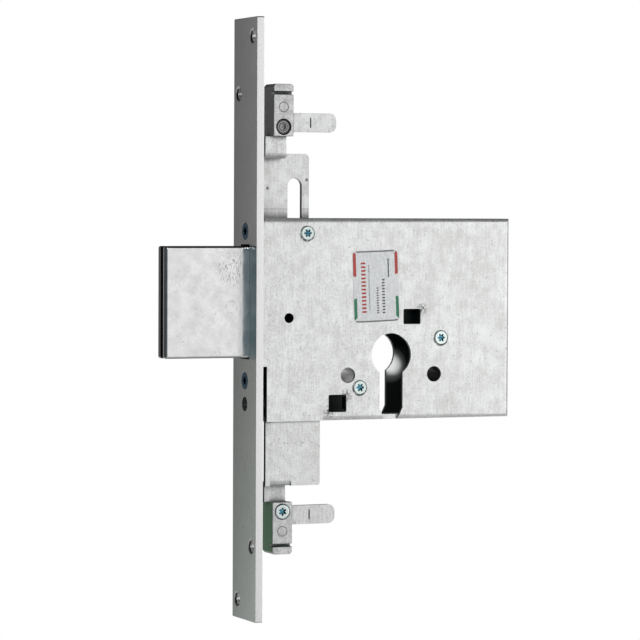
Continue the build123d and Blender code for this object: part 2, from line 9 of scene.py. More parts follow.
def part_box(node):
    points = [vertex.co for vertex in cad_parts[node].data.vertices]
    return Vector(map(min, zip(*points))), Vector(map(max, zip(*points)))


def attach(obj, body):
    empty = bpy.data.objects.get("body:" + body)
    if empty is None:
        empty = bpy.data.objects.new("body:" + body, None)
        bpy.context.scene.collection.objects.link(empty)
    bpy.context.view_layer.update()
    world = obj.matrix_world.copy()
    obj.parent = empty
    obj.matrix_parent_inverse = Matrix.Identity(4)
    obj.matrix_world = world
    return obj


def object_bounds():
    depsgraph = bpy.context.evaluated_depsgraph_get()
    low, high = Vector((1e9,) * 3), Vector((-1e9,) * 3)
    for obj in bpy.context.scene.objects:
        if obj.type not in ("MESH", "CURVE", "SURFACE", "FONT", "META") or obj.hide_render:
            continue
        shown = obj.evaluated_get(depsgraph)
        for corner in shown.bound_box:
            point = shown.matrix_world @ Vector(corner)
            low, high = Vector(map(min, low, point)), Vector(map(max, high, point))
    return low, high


# Looks of the mortise lock: procedural metals on the CAD parts, broken edges, and the label's print.
# Lengths are in metres, in the row frame.
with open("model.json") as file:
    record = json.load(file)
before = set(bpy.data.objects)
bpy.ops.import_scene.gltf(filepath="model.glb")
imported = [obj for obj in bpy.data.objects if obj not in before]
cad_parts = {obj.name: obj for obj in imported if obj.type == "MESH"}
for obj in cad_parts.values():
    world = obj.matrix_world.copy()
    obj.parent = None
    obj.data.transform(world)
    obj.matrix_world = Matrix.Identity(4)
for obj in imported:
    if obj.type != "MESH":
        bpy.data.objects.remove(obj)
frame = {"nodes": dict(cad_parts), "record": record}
cad_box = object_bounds()
nodes = frame["nodes"]
MM = 0.001

# Near-black painted shade for holes, corners and the inside of the case
PAINTED_SHADE_BLACK = (0.010, 0.016, 0.016, 1.0)
# Openness to the surroundings at which a surface takes the full painted shade of holes and corners, and at
# which it takes none
DEEP_SHADE_OPENNESS = (0.18, 0.42)
CORNER_SHADE_OPENNESS = (0.42, 0.74)
FACEPLATE_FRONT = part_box("faceplate")[0].x
COVER_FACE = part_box("case_cover")[0].y


class Surface:
    """One material's node tree, built from sockets and numbers."""

    def __init__(self, name):
        self.material = bpy.data.materials.new(name)
        self.material.use_nodes = True
        self.tree = self.material.node_tree
        self.tree.nodes.clear()
        self.place = self.node("ShaderNodeTexCoord").outputs["Object"]
        self.geometry = self.node("ShaderNodeNewGeometry")

    def node(self, kind, inputs=None, **settings):
        """Add a node, then link or set each of its inputs."""
        made = self.tree.nodes.new(kind)
        for key, value in settings.items():
            setattr(made, key, value)
        for key, value in (inputs or {}).items():
            self.feed(made.inputs[key], value)
        return made

    def feed(self, socket, value):
        if isinstance(value, bpy.types.NodeSocket):
            self.tree.links.new(value, socket)
        else:
            socket.default_value = value

    def math(self, operation, a, b=0.0):
        return self.node("ShaderNodeMath", {0: a, 1: b}, operation=operation).outputs[0]

    def times(self, a, b):
        return self.math("MULTIPLY", a, b)

    def mix(self, factor, a, b):
        return self.node("ShaderNodeMixRGB", {"Fac": factor, "Color1": a, "Color2": b}).outputs[0]

    def span(self, value, low, high, to_low=0.0, to_high=1.0):
        """Map a value from low..high to to_low..to_high, held at both ends."""
        keys = ("Value", "From Min", "From Max", "To Min", "To Max")
        inputs = dict(zip(keys, (value, low, high, to_low, to_high)))
        return self.node("ShaderNodeMapRange", inputs).outputs[0]

    def noise(self, grain, stretch=(1, 1, 1), detail=3.0):
        """Noise with features about one grain across, drawn out along each axis by stretch."""
        scale = [1 / (grain * s) for s in stretch]
        mapped = self.node("ShaderNodeMapping", {"Vector": self.place, "Scale": scale}).outputs[0]
        return self.node("ShaderNodeTexNoise", {"Vector": mapped, "Scale": 1.0, "Detail": detail}).outputs[0]

    def axis(self, index):
        """One coordinate of the point shaded."""
        return self.node("ShaderNodeSeparateXYZ", {0: self.place}).outputs[index]

    def facing(self, index):
        """One component of the surface normal."""
        return self.node("ShaderNodeSeparateXYZ", {0: self.geometry.outputs["Normal"]}).outputs[index]

    def near(self, point, radius, soft):
        """1 within radius of a point, falling to 0 over soft."""
        gap = self.node("ShaderNodeVectorMath", {0: self.place, 1: point}, operation="DISTANCE")
        return self.span(gap.outputs["Value"], radius, radius + soft, 1.0, 0.0)

    def ring(self, point, radius, core, soft):
        """1 on a ring about a point, falling to 0 over soft on both sides of its core."""
        gap = self.node("ShaderNodeVectorMath", {0: self.place, 1: point}, operation="DISTANCE")
        off = self.math("ABSOLUTE", self.math("SUBTRACT", gap.outputs["Value"], radius))
        return self.span(off, core, core + soft, 1.0, 0.0)

    def convex_edges(self, radius=0.35 * MM):
        """1 along convex edges, 0 on flats."""
        rounded = self.node("ShaderNodeBevel", {"Radius": radius}, samples=4).outputs[0]
        pair = {0: rounded, 1: self.geometry.outputs["Normal"]}
        alike = self.node("ShaderNodeVectorMath", pair, operation="DOT_PRODUCT").outputs["Value"]
        return self.span(alike, 0.99, 0.9)

    def in_case(self):
        """1 well inside the case, 0 outside it."""
        low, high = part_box("case_cover")
        inside = 1.0
        for index in (0, 2):
            past_low = self.span(self.axis(index), low[index] + 2 * MM, low[index] + 3 * MM)
            short_of_high = self.span(self.axis(index), high[index] - 3 * MM, high[index] - 2 * MM, 1.0, 0.0)
            inside = self.times(inside, self.times(past_low, short_of_high))
        return inside

    def finish(self, colour, roughness, metallic=1.0, height=None, relief=0.02 * MM, painted_shade=DEEP_SHADE_OPENNESS):
        """Principled shader, with painted shade in holes and corners unless the surface is left without it.
        """
        if painted_shade:
            open_sky = self.node("ShaderNodeAmbientOcclusion", {"Distance": 8 * MM}, samples=8).outputs["AO"]
            colour = self.mix(self.span(open_sky, *painted_shade), PAINTED_SHADE_BLACK, colour)
        shader = self.node(
            "ShaderNodeBsdfPrincipled",
            {"Base Color": colour, "Roughness": roughness, "Metallic": metallic},
        )
        if height is not None:
            bump = self.node("ShaderNodeBump", {"Height": height, "Distance": relief, "Strength": 0.6})
            self.feed(shader.inputs["Normal"], bump.outputs[0])
        output = self.node("ShaderNodeOutputMaterial")
        self.feed(output.inputs["Surface"], shader.outputs[0])
        return self.material


def grey(value, tint=(1.0, 1.0, 1.0)):
    """A tone as a colour, with each channel scaled by a tint."""
    return (value * tint[0], value * tint[1], value * tint[2], 1.0)


SHEET_TONE = 0.84
SHEET_METAL = 0.55
# Thickness of the case's sheet and of the slides
SHEET_T = 1.5 * MM
SLIDE_T = 2 * MM


def sheet_surface(name, tone, roughness=0.42, edge=None):
    """Galvanised sheet: fine grain, faint rolling streaks, cloudy patches and small dark specks."""
    s = Surface(name)
    grain = s.noise(0.8 * MM, detail=4.0)
    streak = s.noise(0.7 * MM, stretch=(0.6, 0.6, 9.0))
    cloud = s.noise(14 * MM, detail=2.0)
    blotch = s.noise(3.5 * MM, detail=3.0)
    mixed = s.math("ADD", s.times(grain, 0.36), s.times(streak, 0.26))
    mixed = s.math("ADD", mixed, s.math("ADD", s.times(blotch, 0.24), s.times(cloud, 0.14)))
    dull, bright = grey(tone * 0.76, (1, 1.0, 0.985)), grey(tone * 1.06, (0.985, 1, 0.99))
    colour = s.mix(s.span(mixed, 0.42, 0.58), dull, bright)
    specks = s.span(s.noise(1.3 * MM, detail=1.0), 0.66, 0.72)
    colour = s.mix(s.times(specks, 0.4), colour, grey(tone * 0.3))
    # Convex edges take the edge tone, which is painted shade where that tone is dark
    colour = s.mix(s.times(s.convex_edges(), 0.4), colour, grey(edge or tone))
    # Faces turned towards the faceplate are painted dark as shade
    colour = s.mix(s.span(s.facing(0), -0.6, -0.95), colour, grey(0.10))
    return s, colour, s.span(grain, 0.3, 0.7, roughness - 0.05, roughness + 0.08), grain


def solid_centres(name, reach):
    """Middles of a node's separate solids, which lie further apart than reach."""
    groups = []
    for vertex in nodes[name].data.vertices:
        group = next((g for g in groups if (g[0] - vertex.co).length < reach), None)
        if group is None:
            groups.append([vertex.co])
        else:
            group.append(vertex.co)
    spans = [[(min(c), max(c)) for c in zip(*group)] for group in groups]
    return [Vector([(low + high) / 2 for low, high in span]) for span in spans]


# Radius of the painted shade in the gap round the cover screws' heads
SCREW_GAP_SHADE_R = 2.85 * MM
# Scuffs beside the cover's windows: shares of the cover's width and height, then the radius
SCUFFS = ((0.640, 0.549, 2.4 * MM), (0.339, 0.121, 2.6 * MM), (0.272, 0.046, 2.5 * MM))


def galvanised_sheet():
    """The cover's sheet, scuffed beside its windows, with painted shade in the gaps round its screws and
    inside the case.
    """
    s, colour, roughness, grain = sheet_surface("galvanised_sheet", SHEET_TONE)
    low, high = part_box("case_cover")
    broken = s.span(s.noise(0.9 * MM, detail=4.0), 0.41, 0.54)
    for across, up, radius in SCUFFS:
        place = (low.x + across * (high.x - low.x), low.y, low.z + up * (high.z - low.z))
        scuff = s.times(s.near(place, 0.3 * radius, radius), broken)
        colour = s.mix(s.times(scuff, 0.9), colour, grey(0.06))
    for centre in solid_centres("cover_screws", 20 * MM):
        place = (centre.x - 0.3 * MM, low.y, centre.z - 0.2 * MM)
        gap_shade = s.ring(place, SCREW_GAP_SHADE_R, 0.2 * MM, 0.35 * MM)
        patchy = s.span(s.noise(1.4 * MM), 0.30, 0.50)
        colour = s.mix(s.times(s.times(gap_shade, patchy), 0.9), colour, grey(0.05, (0.8, 1.0, 1.0)))
    # Inside the case the sheet is painted black as shade
    behind = s.times(s.in_case(), s.span(s.axis(1), low.y + 1.1 * MM, low.y + 1.6 * MM))
    colour = s.mix(behind, colour, PAINTED_SHADE_BLACK)
    return s.finish(colour, roughness, SHEET_METAL, grain)


# Painted pool of light on the back plate, where the beam lands: across and up from the origin, then radius
# and fade
LIT_PATCH_ACROSS, LIT_PATCH_UP, LIT_PATCH_R, LIT_PATCH_FADE = 7 * MM, -5 * MM, 1.5 * MM, 6 * MM


def back_plate_painted_shade():
    """The back plate: plating outside, and inside the case painted shade with a painted pool of light beside
    the opening.
    """
    s, colour, roughness, grain = sheet_surface("back_plate_painted_shade", SHEET_TONE)
    low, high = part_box("case_back")
    inner = high.y - SHEET_T
    lit_patch = s.near((LIT_PATCH_ACROSS, inner, LIT_PATCH_UP), LIT_PATCH_R, LIT_PATCH_FADE)
    shade_with_lit_patch = s.mix(lit_patch, grey(0.018, (0.75, 1.0, 1.0)), grey(0.85))
    inside = s.times(s.span(s.facing(1), -0.5, -0.9), s.span(s.axis(0), low.x + 4 * MM, low.x + 5 * MM))
    colour = s.mix(inside, colour, shade_with_lit_patch)
    # Painted shade on the ends of the front tabs, seen past the bolt in its slot
    tab_ends = s.times(
        s.span(s.axis(0), low.x + 2.0 * MM, low.x + 1.7 * MM),
        s.span(s.math("ABSOLUTE", s.facing(2)), 0.6, 0.8),
    )
    colour = s.mix(tab_ends, colour, PAINTED_SHADE_BLACK)
    return s.finish(colour, roughness, s.span(inside, 0, 1, SHEET_METAL, 0.2), grain, painted_shade=None)


# Dark dots on the upper slide: distance from its front edge and share of its height
SLIDE_DOTS = ((5.4 * MM, 0.60), (22.4 * MM, 0.64))
# Share of its height at which its scribed line lies
SCRIBE_SHARE = 0.505


def slide_sheet():
    """The slides' sheet: the same plating, with two dark dots and a scribed line on the upper slide, and
    painted shade on its edges, in its corners and inside the case.
    """
    s, colour, roughness, grain = sheet_surface("slide_sheet", 0.76, 0.38, edge=0.22)
    low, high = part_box("upper_slide")
    front = high.y - SLIDE_T
    tall = high.z - low.z
    for across, up in SLIDE_DOTS:
        place = (low.x + across, front, low.z + up * tall)
        colour = s.mix(s.times(s.near(place, 0.4 * MM, 0.4 * MM), 0.85), colour, grey(0.06))
    off_line = s.math("ABSOLUTE", s.math("SUBTRACT", s.axis(2), low.z + SCRIBE_SHARE * tall))
    scribed = s.span(off_line, 0.12 * MM, 0.3 * MM, 1.0, 0.0)
    colour = s.mix(s.times(scribed, 0.5), colour, grey(0.25))
    # Inside the case the slides are painted black as shade
    colour = s.mix(s.in_case(), colour, PAINTED_SHADE_BLACK)
    return s.finish(colour, roughness, SHEET_METAL, grain, painted_shade=CORNER_SHADE_OPENNESS)


# The faceplate's sides, darker as painted shade, and the strip of its front beside the bolt
PLATE_SIDE = grey(0.62)
PLATE_BESIDE_BOLT = (0.16, 0.24, 0.27, 1.0)


def faceplate_steel():
    """Satin plate with a faint upright grain: greener below, with painted shade on its sides, in its slot
    and in its countersinks, and a painted reflection of the bolt beside it.
    """
    s = Surface("faceplate_steel")
    low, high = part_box("faceplate")
    grain = s.noise(0.5 * MM, stretch=(1, 0.8, 14.0))
    cloud = s.noise(25 * MM, detail=2.0)
    mixed = s.math("ADD", s.times(grain, 0.5), s.times(cloud, 0.5))
    upper = s.mix(s.span(mixed, 0.35, 0.65), grey(0.68, (1, 1, 0.99)), grey(0.78, (0.99, 1, 0.99)))
    lower = s.mix(s.span(mixed, 0.35, 0.65), grey(0.86, (0.97, 1.05, 0.98)), grey(0.95, (0.97, 1.04, 0.98)))
    colour = s.mix(s.span(s.axis(2), 0.2 * high.z, 0.6 * low.z), upper, lower)
    colour = s.mix(s.span(s.axis(1), low.y, high.y, 0.0, 0.5), colour, grey(0.34, (0.97, 1.02, 0.99)))
    marks = s.span(s.noise(2.2 * MM, stretch=(1, 1, 0.6), detail=1.0), 0.70, 0.76)
    colour = s.mix(s.times(marks, 0.3), colour, grey(0.3))
    # The strip on the cover's side of the bolt mirrors the bolt
    bolt_low, bolt_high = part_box("deadbolt")
    beside = s.times(
        s.span(s.axis(1), bolt_low.y, bolt_low.y - 0.5 * MM),
        s.times(
            s.span(s.axis(2), bolt_low.z - MM, bolt_low.z + 0.5 * MM),
            s.span(s.axis(2), bolt_high.z + MM, bolt_high.z - 0.5 * MM),
        ),
    )
    front = s.span(s.facing(0), -0.8, -0.95)
    colour = s.mix(front, PLATE_SIDE, colour)
    colour = s.mix(s.times(s.times(beside, front), 0.75), colour, PLATE_BESIDE_BOLT)
    colour = s.mix(s.times(s.convex_edges(), 0.5), colour, grey(0.95))
    # The slot's walls, and the side of each countersink that faces the cover, are painted black as shade
    in_slot = s.times(
        s.span(s.math("ABSOLUTE", s.axis(1)), bolt_high.y + MM, bolt_high.y + 0.6 * MM),
        s.times(
            s.span(s.axis(2), bolt_low.z - 1.5 * MM, bolt_low.z - MM),
            s.span(s.axis(2), bolt_high.z + 1.5 * MM, bolt_high.z + MM),
        ),
    )
    walls = s.span(s.axis(0), low.x + 0.1 * MM, low.x + 0.3 * MM)
    colour = s.mix(s.times(in_slot, walls), colour, PAINTED_SHADE_BLACK)
    cone = s.times(s.span(s.facing(0), -0.93, -0.85), s.span(s.facing(0), -0.45, -0.55))
    cone = s.times(cone, s.span(s.facing(1), -0.35, -0.50))
    sunk = s.span(s.axis(0), low.x + 0.15 * MM, low.x + 0.35 * MM)
    colour = s.mix(s.times(cone, sunk), colour, grey(0.02))
    return s.finish(colour, s.span(grain, 0.3, 0.7, 0.26, 0.34), 1.0, grain, 0.005 * MM, painted_shade=None)


# Shares of half the bolt's thickness: full painted shade in its groove, where that fades out, and the
# painted highlight on its lip
GROOVE_SHARE, GROOVE_FADE = 0.36, 0.45
LIP_HIGHLIGHT_SHARE = 0.42
# Marks on the bolt's side: distance in front of the faceplate, then below its top edge or its middle
SCRATCHES_OUT, SCRATCHES_DOWN = 7 * MM, 9 * MM
RING_OUT, RING_DOWN, RING_R = 7.5 * MM, 2 * MM, 2.4 * MM
# How far in front of the faceplate the bolt is paler
ROOT_REACH = 3 * MM


def bolt_zinc():
    """Cloudy zinc on the bolt: pale at its root, painted shade on its rounded edges, end and groove, a
    painted highlight on the end's lip, scratches and a faint ring mark.
    """
    s = Surface("bolt_zinc")
    low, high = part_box("deadbolt")
    cloud = s.noise(5 * MM, detail=5.0)
    fine = s.noise(0.9 * MM, detail=3.0)
    mixed = s.math("ADD", s.times(cloud, 0.65), s.times(fine, 0.35))
    colour = s.mix(s.span(mixed, 0.38, 0.62), grey(0.65), grey(0.74))
    patch_place = Vector((FACEPLATE_FRONT - SCRATCHES_OUT, low.y, high.z - SCRATCHES_DOWN))
    patch = s.near(patch_place, 3.5 * MM, 5 * MM)
    lines = s.span(s.noise(0.6 * MM, stretch=(0.6, 1, 2.4), detail=5.0), 0.53, 0.62)
    colour = s.mix(s.times(s.times(patch, lines), 0.7), colour, grey(0.08))
    specks = s.span(s.noise(1.1 * MM, detail=1.0), 0.70, 0.76)
    colour = s.mix(s.times(specks, 0.35), colour, grey(0.35))
    ring_place = Vector((FACEPLATE_FRONT - RING_OUT, low.y, (low.z + high.z) / 2 - RING_DOWN))
    broken = s.span(s.noise(1.5 * MM), 0.45, 0.6)
    ring = s.times(s.ring(ring_place, RING_R, 0.1 * MM, 0.3 * MM), broken)
    colour = s.mix(s.times(ring, 0.35), colour, grey(0.3))
    root = s.span(s.axis(0), FACEPLATE_FRONT - ROOT_REACH - 0.6 * MM, FACEPLATE_FRONT - ROOT_REACH)
    colour = s.mix(root, colour, grey(1.0))
    # Painted shade on the rounded edges along the top and bottom and on the end face, a painted highlight on
    # the lip, and painted shade in the groove
    top_edge = s.times(s.span(s.facing(2), 0.1, 0.4), s.span(s.facing(2), 0.98, 0.9))
    colour = s.mix(top_edge, colour, grey(0.015))
    low_edge = s.times(s.span(s.facing(2), -0.3, -0.8), s.span(s.facing(2), -0.98, -0.9))
    colour = s.mix(low_edge, colour, grey(0.28))
    end = s.span(s.facing(0), -0.35, -0.8)
    across = s.mix(s.span(s.axis(1), 0.2 * high.y, 0.3 * low.y), grey(0.30), grey(0.14))
    colour = s.mix(end, colour, across)
    off_lip = s.math("ABSOLUTE", s.math("SUBTRACT", s.axis(1), LIP_HIGHLIGHT_SHARE * low.y))
    lip_highlight = s.span(off_lip, 0.3 * MM, 0.5 * MM, 1.0, 0.0)
    colour = s.mix(s.times(end, lip_highlight), colour, grey(1.0))
    behind = s.span(s.axis(0), low.x + 0.1 * MM, low.x + 0.4 * MM)
    behind = s.times(behind, s.span(s.axis(0), low.x + 1.8 * MM, low.x + 1.6 * MM))
    between = s.span(s.math("ABSOLUTE", s.axis(1)), GROOVE_SHARE * high.y, GROOVE_FADE * high.y, 1.0, 0.0)
    colour = s.mix(s.times(behind, between), colour, grey(0.02))
    return s.finish(colour, s.span(cloud, 0.35, 0.65, 0.15, 0.25), 0.92, fine, 0.01 * MM)


def screw_surface(name, head, recess_shade, depth_axis, face):
    """Plated screw: what lies behind the plane of its head face is the drive recess, painted dark as shade.
    """
    s = Surface(name)
    turned = s.noise(0.5 * MM, detail=2.0)
    colour = s.mix(s.span(turned, 0.35, 0.65), grey(0.9, head), grey(1.0, head))
    sunk = s.span(s.axis(depth_axis), face + 0.05 * MM, face + 0.25 * MM)
    patchy = s.mix(s.span(s.noise(0.6 * MM), 0.46, 0.56), grey(1.0, recess_shade), grey(4.5, recess_shade))
    colour = s.mix(sunk, colour, patchy)
    return s.finish(colour, 0.24, 1.0, turned, 0.01 * MM)


# Colours of the two platings on the heads, and the painted shade in their recesses
BRIGHT_ZINC = (0.54, 0.61, 0.595)
BRIGHT_RECESS_SHADE = (0.02, 0.06, 0.08)
BLUED_ZINC = (0.07, 0.17, 0.27)
BLUED_RECESS_SHADE = (0.01, 0.03, 0.05)


def bright_zinc_screws():
    return screw_surface("bright_zinc_screws", BRIGHT_ZINC, BRIGHT_RECESS_SHADE, 1, COVER_FACE)


def clamp_zinc_screw():
    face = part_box("lower_clamp_screw")[0].y
    return screw_surface("clamp_zinc_screw", BRIGHT_ZINC, BRIGHT_RECESS_SHADE, 1, face)


def dark_zinc_screws():
    return screw_surface("dark_zinc_screws", BLUED_ZINC, BLUED_RECESS_SHADE, 0, FACEPLATE_FRONT)


def turned_steel():
    """Plain turned steel."""
    s = Surface("turned_steel")
    grain = s.noise(0.6 * MM, detail=3.0)
    colour = s.mix(s.span(grain, 0.35, 0.65), grey(0.55), grey(0.70))
    return s.finish(colour, 0.32, 1.0, grain, 0.01 * MM)


def sleeve_steel():
    """The sleeves' turned steel: the front one bright, the rear one painted black as shade."""
    s = Surface("sleeve_steel")
    grain = s.noise(0.6 * MM, detail=3.0)
    bright = s.mix(s.span(grain, 0.35, 0.65), grey(0.88), grey(1.0))
    low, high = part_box("escutcheon_sleeves")
    rear = s.span(s.axis(0), (low.x + high.x) / 2, (low.x + high.x) / 2 + MM)
    return s.finish(s.mix(rear, bright, grey(0.006)), 0.35, 1.0, grain, 0.01 * MM, painted_shade=None)


def cast_block(name, side_tint):
    """Die-cast block: sandy skin and edges painted dark as shade; its front side mirrors a tint of the
    surroundings.
    """
    s = Surface(name)
    sand = s.noise(0.6 * MM, detail=5.0)
    cloud = s.noise(4 * MM, detail=3.0)
    mixed = s.math("ADD", s.times(sand, 0.5), s.times(cloud, 0.5))
    colour = s.mix(s.span(mixed, 0.40, 0.60), grey(0.38), grey(0.62))
    colour = s.mix(s.span(s.facing(0), -0.6, -0.9), colour, side_tint)
    colour = s.mix(s.times(s.convex_edges(0.5 * MM), 0.75), colour, grey(0.10))
    return s.finish(colour, 0.42, 0.85, sand, 0.04 * MM, painted_shade=CORNER_SHADE_OPENNESS)


# Tints that the blocks' front sides mirror
PLAIN_SIDE = grey(0.33)
GREEN_SIDE = (0.24, 0.44, 0.27, 1.0)


def die_cast_block():
    return cast_block("die_cast_block", PLAIN_SIDE)


def black_screw():
    """Black screw with two fine turned rings on its head."""
    s = Surface("black_screw")
    grain = s.noise(0.4 * MM, detail=2.0)
    colour = s.mix(grain, grey(0.02), grey(0.10))
    low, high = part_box("upper_clamp_screw")
    face = Vector(((low.x + high.x) / 2, low.y, (low.z + high.z) / 2))
    for share in (0.45, 0.75):
        turned = s.ring(face, share * (high.x - low.x) / 2, 0.08 * MM, 0.2 * MM)
        colour = s.mix(s.times(turned, 0.5), colour, grey(0.5))
    return s.finish(colour, 0.32, 0.8, grain, 0.02 * MM, painted_shade=None)


def spring_steel():
    """Bluish spring steel."""
    s = Surface("spring_steel")
    grain = s.noise(0.6 * MM, stretch=(6, 1, 1))
    return s.finish(s.mix(grain, grey(0.25, (0.9, 0.95, 1.1)), grey(0.42)), 0.28, 1.0)


def label_foil():
    """Pale metallic foil with a fine upright grain."""
    s = Surface("label_foil")
    grain = s.noise(0.4 * MM, stretch=(1, 1, 3))
    colour = s.mix(s.span(grain, 0.35, 0.65), grey(0.52, (0.98, 1.0, 1.01)), grey(0.66, (0.98, 1.0, 1.01)))
    return s.finish(colour, 0.38, 0.6, grain, 0.005 * MM)


def ink(name, colour):
    """Printed ink with slightly uneven cover."""
    s = Surface(name)
    grain = s.noise(0.3 * MM, detail=2.0)
    worn = tuple(min(c * 1.35 + 0.03, 1.0) for c in colour[:3]) + (1.0,)
    return s.finish(s.mix(s.span(grain, 0.45, 0.75), colour, worn), 0.45, 0.0)


SLOT_SURFACES = {
    "faceplate_steel": faceplate_steel,
    "dark_zinc_screws": dark_zinc_screws,
    "galvanised_sheet": galvanised_sheet,
    "turned_steel": turned_steel,
    "bright_zinc_screws": bright_zinc_screws,
    "bolt_zinc": bolt_zinc,
    "slide_sheet": slide_sheet,
    "die_cast_block": die_cast_block,
    "black_screw": black_screw,
    "spring_steel": spring_steel,
    "label_foil": label_foil,
}
# Width of the broken edge on each part that gets one
EDGE_BREAKS = {
    "faceplate": 0.10 * MM,
    "case_cover": 0.12 * MM,
    "case_back": 0.12 * MM,
    "upper_slide": 0.15 * MM,
    "lower_slide": 0.15 * MM,
    "upper_rod_block": 0.25 * MM,
    "lower_rod_block": 0.25 * MM,
}


def break_edges(node, width):
    """Join the imported facets back into flat faces and round the sharp edges between them."""
    weld = node.modifiers.new("weld", "WELD")
    weld.merge_threshold = 0.001 * MM
    flats = node.modifiers.new("flats", "DECIMATE")
    flats.decimate_type = "DISSOLVE"
    flats.angle_limit = math.radians(0.5)
    bevel = node.modifiers.new("edges", "BEVEL")
    bevel.width = width
    bevel.segments = 2
    bevel.limit_method = "ANGLE"
    bevel.angle_limit = math.radians(35)
    normals = node.modifiers.new("normals", "WEIGHTED_NORMAL")
    normals.keep_sharp = False


def dress_nodes():
    """Give every CAD node the surface of its slot, and break the edges of those listed in EDGE_BREAKS."""
    made = {slot: build() for slot, build in SLOT_SURFACES.items()}
    for part in frame["record"]["subparts"]:
        node = nodes[part["node"]]
        node.data.materials.clear()
        node.data.materials.append(made[part["material_slot"]])
    nodes["lower_clamp_screw"].data.materials[0] = clamp_zinc_screw()
    nodes["case_back"].data.materials[0] = back_plate_painted_shade()
    nodes["escutcheon_sleeves"].data.materials[0] = sleeve_steel()
    for rivet in ("upper_block_rivet", "lower_block_rivet"):
        nodes[rivet].data.materials[0] = made["die_cast_block"]
    nodes["lower_rod_block"].data.materials[0] = cast_block("die_cast_block_green_side", GREEN_SIDE)
    for name, width in EDGE_BREAKS.items():
        break_edges(nodes[name], width)


# Label print, laid out in the label's own upright frame
INK_T = 0.03 * MM
BAR_W = 1.3 * MM
END_LINE_W = 0.55 * MM
LABEL_CORNER = 1.5 * MM
BORDER_INSET = 0.1 * MM
BORDER_STEPS = 14
# Inks
RED, GREEN = (0.52, 0.05, 0.04, 1), (0.01, 0.21, 0.10, 1)
DARK, PALE = (0.07, 0.07, 0.08, 1), (0.16, 0.16, 0.17, 1)
# Stretches of the border, as shares of the way round from the middle of its top
RED_BARS = ((0.098, 0.198), (0.797, 0.902))
GREEN_BARS = ((0.298, 0.392), (0.607, 0.698))
END_LINES = ((0.0, 0.090), (0.910, 1.0), (0.400, 0.600))
# Columns of ticks in millimetres from the label's middle: place across, lowest, highest, width and pitch
RED_COLUMN = (-5.4, -10.5, 10.5, 2.0, 1.5)
DARK_COLUMNS = ((-3.0, -9.5, 9.5, 0.5, 0.8), (0.6, -11.0, 0.6, 0.9, 1.0), (3.2, -11.0, 4.0, 1.2, 1.2))
# One long rule, given the same way but with no pitch
LONG_RULE = (5.6, 3.4, 11.0, 0.5)


def label_frame():
    """Centre, upright direction, width and height of the label, from its longest straight edge."""
    mesh = nodes["label"].data
    low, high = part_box("label")
    ends = [[mesh.vertices[i].co for i in edge.vertices] for edge in mesh.edges]
    flat = [(b - a) for a, b in ends if abs(a.y - low.y) < 0.01 * MM and abs(b.y - low.y) < 0.01 * MM]
    tall = max((e for e in flat if abs(e.z) > 10 * abs(e.x)), key=lambda e: e.length)
    up = tall.normalized() * (1 if tall.z > 0 else -1)
    right = Vector((up.z, 0, -up.x))
    centre = (low + high) / 2
    spread = [v.co - centre for v in mesh.vertices]
    width = 2 * max(p.dot(right) for p in spread)
    height = 2 * max(p.dot(up) for p in spread)
    return Vector((centre.x, low.y, centre.z)), right, up, width, height


def ring_point(width, height, radius, inset, turn):
    """Point on a rounded rectangle, inset from its edge, at a share of the way round from top centre."""
    w, h, r = width / 2 - inset, height / 2 - inset, max(radius - inset, 0.0)
    legs = [w - r, None, 2 * (h - r), None, 2 * (w - r), None, 2 * (h - r), None, w - r]
    lengths = [math.pi / 2 * r if leg is None else leg for leg in legs]
    corners = [(w - r, h - r), (w - r, r - h), (r - w, r - h), (r - w, h - r)]
    left = turn * sum(lengths)
    x, z = 0.0, h
    way = (1, 0)
    corner = 0
    for leg, length in zip(legs, lengths):
        step = min(left, length)
        if leg is None:
            cx, cz = corners[corner]
            start = math.pi / 2 * (1 - corner)
            angle = start - (step / r if r else 0)
            x, z = cx + r * math.cos(angle), cz + r * math.sin(angle)
            way = (way[1], -way[0]) if step == length else way
            corner += 1
        else:
            x, z = x + way[0] * step, z + way[1] * step
        left -= step
        if left <= 0:
            break
    return x, z


def print_piece(name, outlines, colour):
    """Thin raised print from closed outlines given in the label's own frame."""
    centre, right, up, _, _ = label_frame()
    bm = bmesh.new()
    for outline in outlines:
        base = [bm.verts.new(centre + right * x + up * z) for x, z in outline]
        top = [bm.verts.new(v.co + Vector((0, -INK_T, 0))) for v in base]
        bm.faces.new(base)
        bm.faces.new(list(reversed(top)))
        for i in range(len(base)):
            j = (i + 1) % len(base)
            bm.faces.new((base[j], base[i], top[i], top[j]))
    bmesh.ops.recalc_face_normals(bm, faces=bm.faces)
    mesh = bpy.data.meshes.new(name)
    bm.to_mesh(mesh)
    bm.free()
    piece = bpy.data.objects.new(name, mesh)
    bpy.context.scene.collection.objects.link(piece)
    mesh.materials.append(ink(name, colour))
    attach(piece, "case")


def border(start, end, band):
    """Outline of a stretch of the label's border, between two shares of the way round."""
    _, _, _, width, height = label_frame()
    turns = [start + (end - start) * i / BORDER_STEPS for i in range(BORDER_STEPS + 1)]
    outer = [ring_point(width, height, LABEL_CORNER, BORDER_INSET, t) for t in turns]
    inner = [ring_point(width, height, LABEL_CORNER, BORDER_INSET + band, t) for t in turns]
    return outer + list(reversed(inner))


def rule(x, low, high, width):
    """Outline of an upright ruled bar with cut corners."""
    half, cut = width / 2, min(width, high - low) / 4
    return [
        (x - half + cut, low),
        (x + half - cut, low),
        (x + half, low + cut),
        (x + half, high - cut),
        (x + half - cut, high),
        (x - half + cut, high),
        (x - half, high - cut),
        (x - half, low + cut),
    ]


def in_mm(values):
    """Values given in millimetres, in metres."""
    return [value * MM for value in values]


def ticks(x, low, high, width, pitch):
    """Column of equal short bars across x, one to each pitch."""
    count = int((high - low) / pitch)
    return [rule(x, low + i * pitch, low + (i + 0.5) * pitch, width) for i in range(count)]


